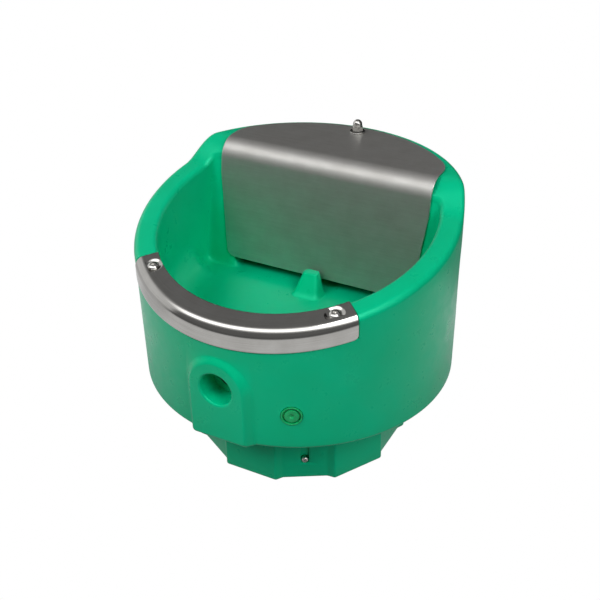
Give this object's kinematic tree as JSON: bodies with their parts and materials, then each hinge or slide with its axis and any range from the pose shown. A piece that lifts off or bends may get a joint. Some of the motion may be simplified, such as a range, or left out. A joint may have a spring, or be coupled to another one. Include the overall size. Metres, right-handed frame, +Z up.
{
  "type": "livestock drinking bowl",
  "caption": "Round double-wall frost-proof drinking bowl for livestock with a sloping front rim, a steel lip guard and a lift-off steel cover over a float valve.",
  "frame": {"origin": "on the bowl's axis, at the bottom of the foot", "axes": "+Z up, -Y towards the animal that drinks, +X to the right of the bowl as seen from its front"},
  "size_m": [0.4, 0.4041, 0.365],
  "materials": {
    "green_polyethylene": "semi-gloss rotomoulded polyethylene",
    "brushed_stainless": "brushed stainless sheet",
    "bright_stainless": "bright stainless",
    "brass": "machined brass",
    "black_rubber": "moulded rubber",
    "white_acetal": "moulded acetal",
    "blue_float_plastic": "moulded float plastic"
  },
  "bodies": {
    "bowl": {"bowl_body": "green_polyethylene", "foam_plug": "green_polyethylene", "lip_guard": "brushed_stainless", "lip_guard_screw_left": "bright_stainless", "lip_guard_screw_right": "bright_stainless", "lip_guard_insert_left": "brass", "lip_guard_insert_right": "brass", "base_screw_1": "bright_stainless", "base_screw_2": "bright_stainless", "base_screw_3": "bright_stainless", "base_insert_1": "brass", "base_insert_2": "brass", "base_insert_3": "brass", "cover_stud": "bright_stainless", "cover_stud_insert": "brass", "inlet_tail": "brass", "inlet_gasket": "black_rubber", "inlet_locknut": "brass", "valve_body": "brass", "valve_nozzle": "white_acetal", "float_arm_pin": "bright_stainless", "heating_element": "bright_stainless", "heater_gland": "bright_stainless", "heater_gasket": "black_rubber", "heater_locknut": "brass"},
    "cover": {"valve_cover": "brushed_stainless", "cover_washer": "bright_stainless", "cover_dome_nut": "bright_stainless"},
    "float_lever": {"float_arm": "bright_stainless", "float": "blue_float_plastic", "float_nut": "white_acetal"},
    "piston": {"valve_piston": "white_acetal", "piston_seal": "black_rubber"},
    "plug": {"drain_plug": "black_rubber"}
  },
  "joints": [
    {"name": "cover_lift", "type": "slide", "parent": "bowl", "child": "cover", "axis": [0, 0, 1], "range_m": [0, 0.2]},
    {"name": "float_hinge", "type": "hinge", "parent": "bowl", "child": "float_lever", "pos_m": [-0.01, 0.084, 0.238], "axis": [0, -1, 0], "range_deg": [0, 20]},
    {"name": "piston_slide", "type": "slide", "parent": "bowl", "child": "piston", "axis": [-1, 0, 0], "range_m": [0, 0.0045]},
    {"name": "plug_pull", "type": "slide", "parent": "bowl", "child": "plug", "axis": [0, 1, 0], "range_m": [0, 0.026]}
  ],
  "couplings": [
    {"joint": "piston_slide", "follows": "float_hinge", "m_per_rad": 0.0128}
  ]
}
